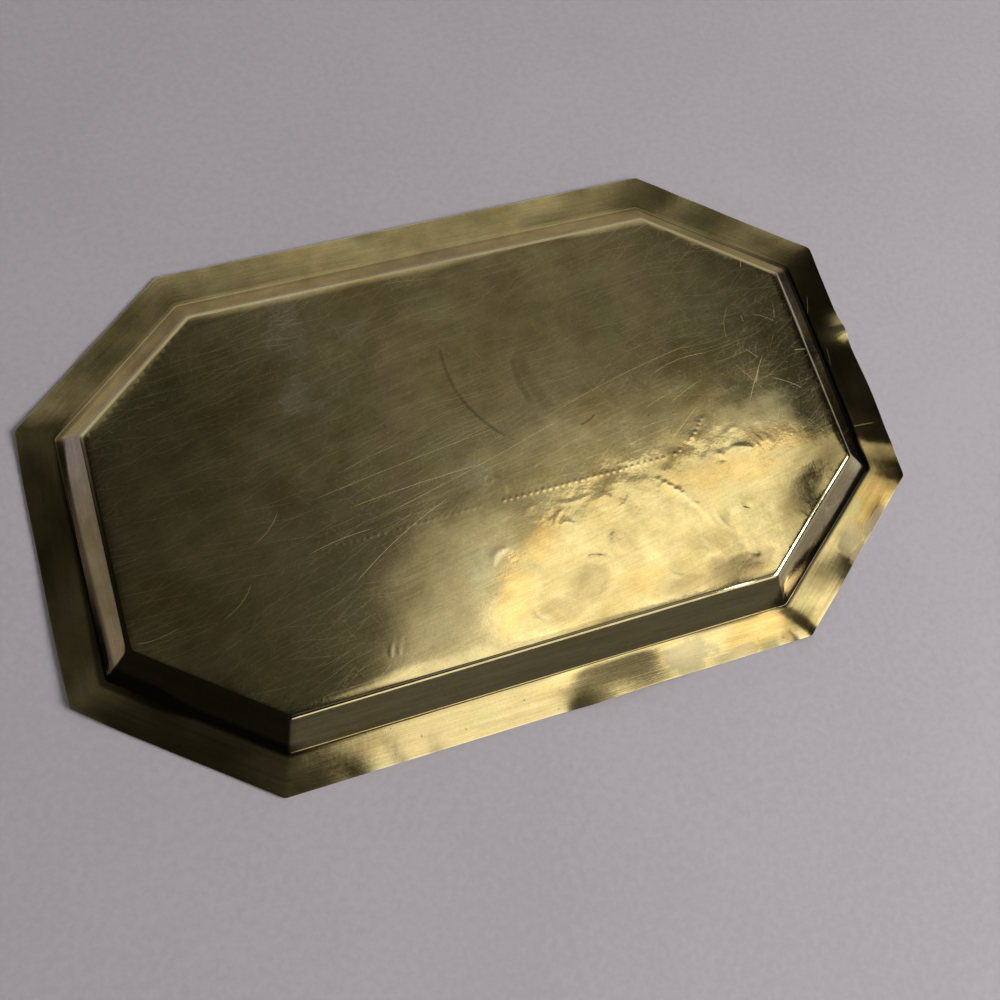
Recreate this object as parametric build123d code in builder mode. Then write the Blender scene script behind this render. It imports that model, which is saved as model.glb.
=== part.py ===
"""Pressed brass coin tray with eight sides, lying face down as it was photographed.

Millimetres, +Z up. X runs along the tray's length and Y across it. The origin is at the
centre of the footprint, on the surface that the rim's face lies on.
"""

import os
from math import atan2, degrees

from build123d import *

# Outline of the rim: two overall sizes and the two legs of each cut corner
tray_length = 280.0
tray_width = 175.0
corner_cut_along = 53.5
corner_cut_across = 42.5
rim_corner_radius = 2.5

# Flat rim round the pan, and the pan's sloping wall
rim_width = 12.0
wall_run = 9.2
pan_depth = 9.4

# Brass sheet, and the inside radius of each bend that the press tool gave it
sheet_thickness = 0.8
shoulder_inside_radius = 1.6
wall_fold_inside_radius = 1.2
foot_inside_radius = 1.0

# Sizes that follow from these
half_length = tray_length / 2
half_width = tray_width / 2
wall_draft = degrees(atan2(wall_run, pan_depth))
shoulder_radius = shoulder_inside_radius + sheet_thickness
wall_fold_radius = wall_fold_inside_radius + sheet_thickness
form_base_depth = pan_depth


def outline_of_rim():
    """Eight-sided outline, drawn as one quarter and mirrored twice."""
    with BuildSketch(mode=Mode.PRIVATE) as outline:
        with BuildLine():
            Polyline(
                (half_length, 0),
                (half_length, half_width - corner_cut_across),
                (half_length - corner_cut_along, half_width),
                (0, half_width),
            )
            mirror(about=Plane.YZ)
            mirror(about=Plane.XZ)
        make_face()
    return outline.sketch


with BuildPart() as tray_pan:
    # Solid form under the sheet: a base whose upper face is the back of the rim
    with BuildSketch(Plane.XY.offset(-form_base_depth)):
        add(outline_of_rim())
    extrude(amount=form_base_depth + sheet_thickness)
    fillet(tray_pan.edges().filter_by(Axis.Z), radius=rim_corner_radius)

    # The pan rises from it, with every wall leaning in by the same run
    with BuildSketch(Plane.XY.offset(sheet_thickness)):
        add(outline_of_rim())
        offset(amount=-rim_width, kind=Kind.INTERSECTION, mode=Mode.REPLACE)
    extrude(amount=pan_depth, taper=wall_draft)

    # Bends: folds between walls, shoulder round the panel, foot round the rim
    wall_folds = tray_pan.edges(Select.LAST).group_by(Axis.Z)[1]
    fillet(wall_folds, radius=wall_fold_radius)
    panel_back = tray_pan.faces().sort_by(Axis.Z)[-1]
    fillet(panel_back.edges(), radius=shoulder_radius)
    rim_back = tray_pan.faces().filter_by(Axis.Z).sort_by(Axis.Z)[1]
    fillet(rim_back.inner_wires()[0].edges(), radius=foot_inside_radius)

    # Hollowing from below and from the sides leaves an even sheet over the form
    below_rim = tray_pan.faces().filter_by(lambda face: face.center().Z < 0)
    offset(amount=-sheet_thickness, openings=below_rim, kind=Kind.INTERSECTION)

tray_pan.part.label = "tray_pan"

os.makedirs("parts", exist_ok=True)
export_step(tray_pan.part, "parts/tray_pan.step")
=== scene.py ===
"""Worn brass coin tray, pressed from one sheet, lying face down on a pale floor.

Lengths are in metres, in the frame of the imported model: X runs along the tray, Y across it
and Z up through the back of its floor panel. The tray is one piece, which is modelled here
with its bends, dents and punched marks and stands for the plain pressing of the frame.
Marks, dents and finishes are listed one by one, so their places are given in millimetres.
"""

import logging
import math
from dataclasses import dataclass, fields
from enum import Enum
from functools import reduce

import bmesh
import bpy
import numpy as np
from mathutils import Matrix, Vector, noise


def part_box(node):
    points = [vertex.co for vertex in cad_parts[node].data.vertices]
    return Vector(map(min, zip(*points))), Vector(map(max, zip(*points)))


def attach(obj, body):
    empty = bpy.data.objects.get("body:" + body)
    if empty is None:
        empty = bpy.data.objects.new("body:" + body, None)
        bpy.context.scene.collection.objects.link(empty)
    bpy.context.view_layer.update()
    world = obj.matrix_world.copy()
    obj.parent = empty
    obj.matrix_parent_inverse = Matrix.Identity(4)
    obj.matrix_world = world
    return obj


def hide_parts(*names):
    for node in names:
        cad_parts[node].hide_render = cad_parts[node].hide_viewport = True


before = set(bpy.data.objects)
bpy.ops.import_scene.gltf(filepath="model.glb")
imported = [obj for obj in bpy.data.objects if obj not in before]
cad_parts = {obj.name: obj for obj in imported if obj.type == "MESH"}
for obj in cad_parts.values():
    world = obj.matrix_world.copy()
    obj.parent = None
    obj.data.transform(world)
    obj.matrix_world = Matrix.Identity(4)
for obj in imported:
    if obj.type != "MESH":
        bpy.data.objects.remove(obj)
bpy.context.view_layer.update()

LOG = logging.getLogger("coin_tray")
MM = 0.001
INSET = "inset"
WEAR = "wear"
NOTES = ("edge_number", "edge_share", INSET)

Place = tuple[float, float]
Colour = tuple[float, float, float]
Point = tuple[float, float, float]
Edge = tuple[Vector, float]
Array = np.ndarray
Piece = bpy.types.Object


class Blend(Enum):
    """Ways to lay one colour over another."""

    MIX = "MIX"
    MULTIPLY = "MULTIPLY"


def rows(kind: type, *table: tuple[float, ...]) -> tuple:
    """Make an item from each row of a table. What a row leaves off at its end has its default.

    Args:
        kind: Dataclass of the items, whose fields are numbers and places.
        table: Rows with the fields in order, in which a place is two numbers.

    Returns:
        The items.
    """
    items = []
    for row in table:
        values, numbers = [], iter(row)
        for slot, number in zip(fields(kind), numbers):
            values.append((number, next(numbers)) if slot.type == Place else number)
        items.append(kind(*values))
    return tuple(items)


def smooth(value: Array | float, low: float, high: float) -> Array | float:
    """Rise smoothly from 0 at low to 1 at high.

    Args:
        value: Number or array to grade.
        low: Value that gives 0.
        high: Value that gives 1.

    Returns:
        Smooth step of the value.
    """
    share = np.clip((value - low) / (high - low), 0.0, 1.0)
    return share * share * (3 - 2 * share)


def bell(distance: Array, reach: Array | float) -> Array:
    """Fall from 1 at no distance to about a third at the reach, in a bell curve."""
    return np.exp(-((distance / reach) ** 2))


def crossing(first: Edge, second: Edge) -> Vector:
    """Find where two lines cross, each given as a normal and a distance from the centre.

    Args:
        first: One line.
        second: The other line.

    Returns:
        The point.
    """
    (a, reach_a), (b, reach_b) = first, second
    across = a.x * b.y - a.y * b.x
    return Vector(
        ((reach_a * b.y - reach_b * a.y) / across, (reach_b * a.x - reach_a * b.x) / across)
    )


def deselect_all() -> None:
    """Clear the selection, because operators act on all that is selected."""
    if bpy.context.object and bpy.context.object.mode != "OBJECT":
        bpy.ops.object.mode_set(mode="OBJECT")
    bpy.ops.object.select_all(action="DESELECT")


def select_only(piece: Piece) -> None:
    """Select one object alone, and make it the active one."""
    deselect_all()
    piece.select_set(True)
    bpy.context.view_layer.objects.active = piece


@dataclass(frozen=True)
class Outline:
    """Eight-sided outline whose corners are short arcs.

    Every ring of the tray, from its outer edge to its floor panel, is this outline with all
    its sides moved in by the same inset. Its lists go anticlockwise from the side at +X.
    """

    length: float
    width: float
    cut_along: float
    cut_across: float
    arc_steps: int = 3

    def sides(self) -> list[Edge]:
        """Outward normal and distance from the centre of each of the eight sides."""
        slanted = Vector((self.cut_across, self.cut_along)).normalized()
        reach = Vector((self.length / 2, self.width / 2 - self.cut_across)).dot(slanted)
        half = [
            (Vector((1, 0)), self.length / 2),
            (slanted, reach),
            (Vector((0, 1)), self.width / 2),
            (Vector((-slanted.x, slanted.y)), reach),
        ]
        return half + [(-normal, reach) for normal, reach in half]

    def straight_edges(self, inset: float, radius: float) -> list[Edge]:
        """Straight edges that bound the outline: its sides, and tangents round each corner.

        Args:
            inset: Distance that every side is moved in.
            radius: Radius of the corner arcs.

        Returns:
            Outward normal and distance from the centre of each edge.
        """
        sides, edges = self.sides(), []
        for (here, reach), (after, next_reach) in zip(sides, sides[1:] + sides[:1]):
            edges.append((here, reach - inset))
            inner = inset + radius
            centre = crossing((here, reach - inner), (after, next_reach - inner))
            for step in range(1, self.arc_steps + 1):
                normal = here.copy()
                turn = here.angle(after) * step / (self.arc_steps + 1)
                normal.rotate(Matrix.Rotation(turn, 2))
                edges.append((normal, centre.dot(normal) + radius))
        return edges

    def corners(self, inset: float, radius: float) -> list[Vector]:
        """Ends of the straight edges, closed: edge k runs from corner k to corner k + 1."""
        edges = self.straight_edges(inset, radius)
        return [crossing(edges[k - 1], edges[k % len(edges)]) for k in range(len(edges) + 1)]

    def gaps(self, x: Array, y: Array) -> Array:
        """Distance of points in from each side: a row for every side."""
        return np.array([reach - (x * normal.x + y * normal.y) for normal, reach in self.sides()])

    def run_of(self, x: Array, y: Array) -> Array:
        """Distance of points round the outer edge, measured from the start of the first side.

        Points further in are carried out to the edge along lines between the corners, so the
        distance goes on evenly from one side to the next.

        Args:
            x: Places of the points along the tray.
            y: Places of the points across the tray.

        Returns:
            Distance of each point.
        """
        sides, gaps = self.sides(), self.gaps(x, y)
        run, passed = np.zeros(len(x)), 0.0
        for number, edge in enumerate(sides):
            before, after = sides[number - 1], sides[(number + 1) % len(sides)]
            normal = edge[0]
            along = Vector((-normal.y, normal.x))
            start, end = crossing(before, edge).dot(along), crossing(edge, after).dot(along)
            low = start + gaps[number] * math.tan(before[0].angle(normal) / 2)
            high = end - gaps[number] * math.tan(normal.angle(after[0]) / 2)
            share = (x * along.x + y * along.y - low) / np.maximum(high - low, 1e-6)
            here = passed + np.clip(share, 0, 1) * (end - start)
            run = np.where(np.argmin(gaps, axis=0) == number, here, run)
            passed += end - start
        return run


def arc(inset: float, height: float, radius: float, turns: list[float]) -> list[Place]:
    """Points of an arc that leaves a level line.

    Args:
        inset: Place on the line where the arc starts.
        height: Height of the line.
        radius: Radius of the arc, below nought for one that ends on the line.
        turns: Angles of the points, from the arc's start on the line.

    Returns:
        Inset and height of each point.
    """
    return [
        (inset + radius * math.sin(turn), height + radius * (1 - math.cos(turn)))
        for turn in turns
    ]


@dataclass(frozen=True)
class Press:
    """Sizes that the press tool gives the sheet, from its outer edge inwards."""

    rim_width: float = 12.0 * MM
    wall_run: float = 9.2 * MM
    pan_depth: float = 9.4 * MM
    sheet: float = 0.8 * MM
    foot_radius: float = 1.0 * MM
    shoulder_radius: float = 2.4 * MM
    fold_radius: float = 2.0 * MM
    rim_corner_radius: float = 2.5 * MM
    edge_bevel: float = 0.12 * MM
    rim_rings: int = 9
    wall_rings: int = 6
    bend_rings: int = 5

    def wall_angle(self) -> float:
        """Angle of the wall above the rim's plane."""
        return math.atan2(self.pan_depth, self.wall_run)

    def panel_start(self) -> float:
        """Inset at which the shoulder ends and the flat panel starts."""
        shoulder = self.shoulder_radius * math.tan(self.wall_angle() / 2)
        return self.rim_width + self.wall_run + shoulder

    def profile(self) -> list[Place]:
        """Section of the back of the sheet, from the outer edge to the floor panel.

        Returns:
            Inset and height of each ring, with the two bends as arcs.
        """
        angle = self.wall_angle()
        foot_start = self.rim_width - self.foot_radius * math.tan(angle / 2)
        top = self.sheet + self.pan_depth
        turns = [angle * step / self.bend_rings for step in range(self.bend_rings + 1)]
        rim = [(foot_start * step / self.rim_rings, self.sheet) for step in range(self.rim_rings)]
        foot = arc(foot_start, self.sheet, self.foot_radius, turns)
        shoulder = arc(self.panel_start(), top, -self.shoulder_radius, turns[::-1])
        wall = []
        for step in range(1, self.wall_rings):
            share = step / self.wall_rings
            wall.append(tuple(a + (b - a) * share for a, b in zip(foot[-1], shoulder[0])))
        return rim + foot + wall + shoulder

    def corner_radius(self, inset: float) -> float:
        """Corner radius of the ring at an inset: wider at the sheared edge than at the folds."""
        share = smooth(inset, 0.0, self.rim_width)
        return self.rim_corner_radius + (self.fold_radius - self.rim_corner_radius) * share


@dataclass(frozen=True)
class Dots:
    """A straight row of punched dots, raised on the back of the sheet. Millimetres."""

    start: Place
    end: Place
    pitch: float = 2.2
    reach: float = 0.55
    height: float = 0.07
    rounds: int = 3

    def local(self, x: Array, y: Array) -> tuple[Array, Array, float]:
        """Find points' places by the row.

        Args:
            x: Places along the tray.
            y: Places across the tray.

        Returns:
            Distance of each point along the row and to its side, and the row's length.
        """
        run = Vector(self.end) - Vector(self.start)
        length = run.length
        run.normalize()
        along = (x - self.start[0]) * run.x + (y - self.start[1]) * run.y
        side = (y - self.start[1]) * run.x - (x - self.start[0]) * run.y
        return along, side, length

    def gap(self, x: Array, y: Array) -> Array:
        """Distance of points from the row."""
        along, side, length = self.local(x, y)
        past = np.maximum(np.maximum(-along, along - length), 0)
        return np.hypot(past, side)

    def height_at(self, x: Array, y: Array) -> Array:
        """Height that the row gives the sheet.

        Args:
            x: Places along the tray.
            y: Places across the tray.

        Returns:
            Height at each place.
        """
        along, side, length = self.local(x, y)
        number = np.clip(np.round(along / self.pitch), 0, math.floor(length / self.pitch))
        away = np.hypot(along - number * self.pitch, side)
        return self.height * bell(away, self.reach)


@dataclass(frozen=True)
class Ridge:
    """A punched stroke: a bowed ridge that tapers to both ends. Millimetres."""

    start: Place
    end: Place
    bow: float = 0.0
    reach: float = 0.8
    height: float = 0.06
    rounds: int = 2

    def local(self, x: Array, y: Array) -> tuple[Array, Array]:
        """Find points' places by the stroke.

        Args:
            x: Places along the tray.
            y: Places across the tray.

        Returns:
            Place along the stroke, from -1 to 1, and distance from its bowed line.
        """
        run = (Vector(self.end) - Vector(self.start)) / 2
        middle = (Vector(self.end) + Vector(self.start)) / 2
        along = ((x - middle.x) * run.x + (y - middle.y) * run.y) / run.length_squared
        side = ((y - middle.y) * run.x - (x - middle.x) * run.y) / run.length
        return along, side - self.bow * (1 - along**2)

    def gap(self, x: Array, y: Array) -> Array:
        """Distance of points from the stroke."""
        along, side = self.local(x, y)
        half = (Vector(self.end) - Vector(self.start)).length / 2
        return np.hypot(np.maximum(np.abs(along) - 1, 0) * half, side)

    def height_at(self, x: Array, y: Array) -> Array:
        """Height that the stroke gives the sheet at points."""
        along, side = self.local(x, y)
        taper = np.sqrt(np.clip(1 - along**2, 0, 1))
        return self.height * taper * bell(side, self.reach * (0.35 + 0.65 * taper))


@dataclass(frozen=True)
class Ring:
    """A punched ring. Millimetres."""

    centre: Place
    radius: float
    reach: float = 0.6
    height: float = 0.05
    rounds: int = 2

    def gap(self, x: Array, y: Array) -> Array:
        """Distance of points from the ring's line."""
        return np.abs(np.hypot(x - self.centre[0], y - self.centre[1]) - self.radius)

    def height_at(self, x: Array, y: Array) -> Array:
        """Height that the ring gives the sheet at points."""
        return self.height * bell(self.gap(x, y), self.reach)


Mark = Dots | Ridge | Ring


@dataclass(frozen=True)
class Ornament:
    """Punched ornament of dotted borders, strokes and rings, as worn as the tray."""

    borders: tuple[Dots, ...] = rows(
        Dots,
        (-62, -19.8, -36, -19.8, 2.2, 0.55, 0.016), (-35, -19.7, -6, -19.5, 2.2, 0.55, 0.007),
        (1.5, -19.5, 58.5, -19.5, 2.2, 0.55, 0.026), (60.6, -19, 64.8, -17.4, 2.25, 0.55, 0.028),
        (66.6, -16.3, 69.9, -13.6, 2.1, 0.55, 0.025), (71.3, -12.1, 73.6, -9.7, 1.66, 0.55, 0.016),
        (-60, 19.5, -26, 19.5, 2.2, 0.55, 0.006),
    )
    twists: int = 7
    twist_start: Place = (52.5, -26.0)
    twist_end: Place = (60.0, -36.5)
    twist_length: Place = (2.4, 1.1)
    strokes: tuple[Ridge, ...] = rows(
        Ridge,
        (50, -24.5, 65.5, -46, 2.2, 0.9, 0.09), (67, -38.5, 71.5, -49.5, -1.6),
        (71.5, -43.2, 79, -43.6, 1, 0.9, 0.08), (68.5, -52, 74.5, -56.2, 0.7, 0.9, 0.08),
        (73.5, -55.5, 76, -59, 0.5), (56, -51.5, 62, -56, 0.8, 0.9),
        (45.5, -55, 51, -59, -1.2, 1.1, 0.07), (36.5, -46.5, 41.5, -51.5, 1, 1, 0.04),
        (22, -43.5, 28.5, -46, 0.9, 1, 0.04), (15, -50, 17.5, -58, -0.8, 0.9, 0.03),
        (0, -54.5, 5.5, -59.5, -1.6, 1), (-8.5, -39.5, -2, -34.5, 1.5, 1.2),
        (-46, -57.5, -43.8, -52.5, 0.4, 0.6, 0.05), (-43.5, -57.5, -41, -52.5, 0.5, 0.6, 0.05),
        (79.5, -22, 87.5, -24.6, 0.8, 0.9, 0.055), (74.5, -22, 76.8, -26.5, 0.5, 0.8, 0.07),
        (79, -17, 84.5, -15.5, 0.7, 0.8, 0.05), (14.8, -33.5, 18.5, -27.5, 1.4),
        (6, -26.5, 11.5, -24.5, 1, 0.8, 0.07), (11.8, -24.8, 10, -29.5, 1.2, 0.9, 0.08),
        (36, -31.5, 41.5, -28, -0.9, 0.8, 0.05), (17, -24.6, 30, -24.2, -1.3, 0.8, 0.035),
        (1, -11, 3, -17.5, 0.9, 0.7, 0.05), (-86.5, -40.5, -81.5, -32, -1.5, 0.7, 0.05),
    )
    rings: tuple[Ring, ...] = rows(
        Ring,
        (18.3, -34, 2.4), (33, -28.5, 2.2, 0.6, 0.02), (8.7, -26, 2.3),
        (-1.5, -11.5, 1.3, 0.5, 0.04),
    )
    fan_centre: Place = (76.0, -30.0)
    fan_radii: tuple[float, ...] = (12.5, 14.6, 16.7, 18.8)
    fan_angles: Place = (8.0, 44.0)

    def marks(self) -> list[Mark]:
        """All the punched marks, with the stem's twists and the fan laid out."""
        marks = [*self.borders, *self.strokes, *self.rings]
        start, end = Vector(self.twist_start), Vector(self.twist_end)
        for number in range(self.twists):
            centre = start.lerp(end, number / (self.twists - 1))
            half = Vector(self.twist_length) / 2
            marks.append(Ridge(tuple(centre - half), tuple(centre + half), 0.3, 0.45, 0.05))
        for radius in self.fan_radii:
            ends = [
                (
                    self.fan_centre[0] + radius * math.cos(math.radians(angle)),
                    self.fan_centre[1] + radius * math.sin(math.radians(angle)),
                )
                for angle in self.fan_angles
            ]
            marks.append(Ridge(ends[0], ends[1], bow=-0.05 * radius, reach=0.7, height=0.03))
        return marks


@dataclass(frozen=True)
class Swell:
    """Irregular waves of the sheet, from handling. Millimetres."""

    length: float
    height: float
    seed: float
    middle: Place = (0.0, 0.0)
    spread: float = 1000.0

    def height_at(self, x: Array, y: Array) -> Array:
        """Height of the waves, which are strongest round their middle.

        Args:
            x: Places along the tray.
            y: Places across the tray.

        Returns:
            Height at each place.
        """
        waves = [
            noise.noise(Vector((a / self.length, b / self.length, self.seed)))
            for a, b in zip(x, y)
        ]
        away = np.hypot(x - self.middle[0], y - self.middle[1])
        return self.height * np.array(waves) * bell(away, self.spread)


@dataclass(frozen=True)
class Dent:
    """A soft dent, or a bump where its height is above nought. Millimetres and degrees."""

    centre: Place
    size: Place
    height: float
    turn: float = 0.0

    def height_at(self, x: Array, y: Array) -> Array:
        """Height that the dent gives the sheet.

        Args:
            x: Places along the tray.
            y: Places across the tray.

        Returns:
            Height at each place.
        """
        cos, sin = math.cos(math.radians(self.turn)), math.sin(math.radians(self.turn))
        along = (x - self.centre[0]) * cos + (y - self.centre[1]) * sin
        side = (y - self.centre[1]) * cos - (x - self.centre[0]) * sin
        return self.height * bell(np.hypot(along / self.size[0], side / self.size[1]), 1.0)


@dataclass(frozen=True)
class Bend:
    """A place where the rim's edge or the foot of the wall is bent up or outwards. Millimetres.

    The higher its curl, the nearer the bend keeps to the rim's edge.
    """

    place: Place
    spread: float
    lift: float
    outward: float = 0.0
    curl: float = 1.0


@dataclass(frozen=True)
class Droop:
    """A stretch where the panel falls towards its edge. Millimetres.

    The place is on the tray's outer edge, abreast of the stretch.
    """

    place: Place
    spread: float
    drop: float
    reach: float


@dataclass(frozen=True)
class Wear:
    """Bends and dents that use has given the sheet."""

    swells: tuple[Swell, ...] = rows(
        Swell,
        (40, 0.16, 2.3), (17, 0.06, 7.1), (8, 0.048, 4.4, 55, -36, 60),
        (4.2, 0.038, 9.2, 72, -32, 48),
    )
    dents: tuple[Dent, ...] = rows(
        Dent,
        (38, -1, 2.2, 0.7, -0.05, 30), (25, -50, 12, 5, 0.03, -12), (-12, -64, 1.5, 1, -0.035),
    )
    creases: tuple[Ridge, ...] = rows(
        Ridge,
        (74.6, -24, 77.2, -25.4, -0.5, 0.6, -0.03), (75.9, -41.7, 79.4, -43.9, 0.6, 0.9, -0.045),
        (69, -52.7, 73.4, -55.4, 0.8, 1, -0.06), (73.2, -56.4, 76.2, -58.2, -0.4, 0.7),
        (45.6, -54.2, 50.4, -57.4, -0.8, 0.9, -0.08), (21.5, -43.2, 28, -44.9, 0.6, 1, -0.07),
        (54.5, -52.5, 60, -52.6, 0.8, 0.9), (33, -54.5, 34.1, -61, 0.4, 0.5, -0.03),
        (32, -38.5, 33.5, -46.5, -0.9, 1.3), (88, -36, 92.5, -38.8, 0.5, 1, -0.025),
        (60, -36, 63, -40.5, 0.7, 1, 0.03),
    )
    droops: tuple[Droop, ...] = rows(
        Droop,
        (78, -87.5, 9, 0.45, 12), (124, -56, 18, 0.7, 14), (140, 4, 40, 0.22, 14),
    )
    fading: Swell = Swell(11.0, 0.9, 3.3)
    fade_level: float = 0.35
    fade_range: Place = (0.12, 0.8)
    calm_band: Place = (-1.5, 3.0)
    dent_band: Place = (-7.0, -1.0)
    full_mark: float = 0.06
    rim_swell: Swell = Swell(17.0, 0.35, 5.7)
    rim_bends: tuple[Bend, ...] = rows(
        Bend,
        (140, 11.4, 4.2, 1, 0.4, 1.7), (140, -14, 16, 0, 0.9), (136, -48, 8, 0.4, -0.3),
        (140, -33, 3, 0.3, 0, 0.35), (99, -77.3, 16, 1.5), (84.5, -87.5, 5, 1.3),
        (32, -87.5, 12, 1.35), (14, -87.5, 11, 1.35, 0.4), (-140, -45, 9, 1, -0.6),
        (-140, -22, 24, 0.8), (-140, 45, 9, 0.9, -0.8), (86.5, 87.5, 8, 0.5, -0.4),
        (140, 45, 9, 0.5),
    )
    foot_rises: tuple[Bend, ...] = rows(
        Bend,
        (-34, -76, 30, 0.25), (0, 76, 70, 0.6), (-128, 0, 34, 0.7), (130, 22, 46, 0.9),
        (-105, -60, 36, 0.9),
    )


def raised(shapes: list[Mark | Swell | Dent], x: Array, y: Array) -> Array:
    """Height that several shapes give the sheet together at points."""
    return sum(shape.height_at(x, y) for shape in shapes)


@dataclass
class TrayPan:
    """The pressed sheet with its wear, as one closed mesh."""

    press: Press = Press()
    ornament: Ornament = Ornament()
    wear: Wear = Wear()
    cut_along: float = 53.5 * MM
    cut_across: float = 42.5 * MM
    cell: float = 2.0 * MM
    margins: tuple[float, ...] = (2.6, 1.3, 0.5)
    smooth_angle: float = math.radians(35)
    bevel_angle: float = math.radians(50)

    def __post_init__(self) -> None:
        """Take the overall sizes from the frame."""
        low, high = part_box("tray_pan")
        self.outline = Outline(high.x - low.x, high.y - low.y, self.cut_along, self.cut_across)
        self.rings = self.press.profile()
        self.marks = self.ornament.marks()

    def build(self) -> Piece:
        """Model the sheet and return the finished piece."""
        pan = self.make_panel()
        self.draw_rings(pan)
        for number, margin in enumerate(self.margins):
            self.refine(pan, number, margin)
        self.shape_by_wear(pan)
        self.give_thickness(pan)
        return pan

    def make_panel(self) -> Piece:
        """Start with the floor panel, cut from a grid along the outline's edges."""
        inset, height = self.rings[-1]
        length, width = self.outline.length, self.outline.width
        deselect_all()
        bpy.ops.mesh.primitive_grid_add(
            x_subdivisions=round(length / self.cell),
            y_subdivisions=round(width / self.cell),
            size=1.0,
            location=(0, 0, height),
        )
        bpy.ops.transform.resize(value=(length, width, 1))
        pan = bpy.context.object
        pan.name = "tray_sheet"
        bpy.ops.object.transform_apply(location=True, rotation=True, scale=True)
        bpy.ops.object.mode_set(mode="EDIT")
        for normal, reach in self.outline.straight_edges(inset, self.press.fold_radius):
            bpy.ops.mesh.select_all(action="SELECT")
            bpy.ops.mesh.bisect(
                plane_co=(normal.x * reach, normal.y * reach, height),
                plane_no=(normal.x, normal.y, 0),
                clear_outer=True,
            )
        bpy.ops.object.mode_set(mode="OBJECT")
        return pan

    def draw_rings(self, pan: Piece) -> None:
        """Extrude the panel's edge outwards, ring by ring, down the wall and over the rim.

        Args:
            pan: Object that holds the floor panel.
        """
        self.note_edge_places(pan)
        bpy.ops.object.mode_set(mode="EDIT")
        bpy.ops.mesh.select_mode(type="EDGE")
        bpy.ops.mesh.select_all(action="DESELECT")
        mesh = bmesh.from_edit_mesh(pan.data)
        for edge in mesh.edges:
            edge.select_set(edge.is_boundary)
        bmesh.update_edit_mesh(pan.data)
        for inset, height in reversed(self.rings[:-1]):
            bpy.ops.mesh.extrude_region_move()
            self.place_ring(pan, inset, height)
        bpy.ops.object.mode_set(mode="OBJECT")

    def note_edge_places(self, pan: Piece) -> None:
        """Note on each boundary point which straight edge it lies on, and how far along.

        Args:
            pan: Object that holds the floor panel.
        """
        inset = self.rings[-1][0]
        edges = self.outline.straight_edges(inset, self.press.fold_radius)
        corners = self.outline.corners(inset, self.press.fold_radius)
        mesh = bmesh.new()
        mesh.from_mesh(pan.data)
        numbers, shares, insets = [mesh.verts.layers.float.new(name) for name in NOTES]
        for vert in mesh.verts:
            vert[insets] = inset / MM
            if not vert.is_boundary:
                continue
            gaps = [abs(reach - vert.co.xy.dot(normal)) for normal, reach in edges]
            for number in sorted(range(len(edges)), key=gaps.__getitem__)[:3]:
                start, run = corners[number], corners[number + 1] - corners[number]
                along = (vert.co.xy - start).dot(run) / run.length_squared
                if -1e-3 <= along <= 1 + 1e-3:
                    break
            vert[numbers], vert[shares] = number, along
        mesh.to_mesh(pan.data)
        mesh.free()

    def place_ring(self, pan: Piece, inset: float, height: float) -> None:
        """Move the newly extruded ring into place.

        Args:
            pan: Object that holds the sheet.
            inset: Inset of the ring.
            height: Height of the ring.
        """
        corners = self.outline.corners(inset, self.press.corner_radius(inset))
        mesh = bmesh.from_edit_mesh(pan.data)
        numbers, shares, insets = [mesh.verts.layers.float[name] for name in NOTES]
        for vert in mesh.verts:
            if vert.select:
                start, end = corners[round(vert[numbers]):][:2]
                vert.co = (*start.lerp(end, vert[shares]), height)
                vert[insets] = inset / MM
        bmesh.update_edit_mesh(pan.data)

    def refine(self, pan: Piece, number: int, margin: float) -> None:
        """Divide the panel's faces that lie near the punched marks.

        Args:
            pan: Object that holds the sheet.
            number: How many rounds of dividing came before this one.
            margin: Distance from the marks within which faces are divided, in millimetres.
        """
        select_only(pan)
        bpy.ops.object.mode_set(mode="EDIT")
        bpy.ops.mesh.select_mode(type="FACE")
        bpy.ops.mesh.select_all(action="DESELECT")
        mesh = bmesh.from_edit_mesh(pan.data)
        x, y = np.array([face.calc_center_median()[:2] for face in mesh.faces]).T / MM
        near = np.zeros(len(x), bool)
        for mark in (*self.marks, *self.wear.creases):
            if number < mark.rounds:
                near |= mark.gap(x, y) < mark.reach + margin
        near &= self.outline.gaps(x * MM, y * MM).min(axis=0) > self.press.panel_start()
        for face, chosen in zip(list(mesh.faces), near):
            face.select_set(bool(chosen))
        bmesh.update_edit_mesh(pan.data)
        bpy.ops.mesh.subdivide(number_cuts=1)
        bpy.ops.object.mode_set(mode="OBJECT")

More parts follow.
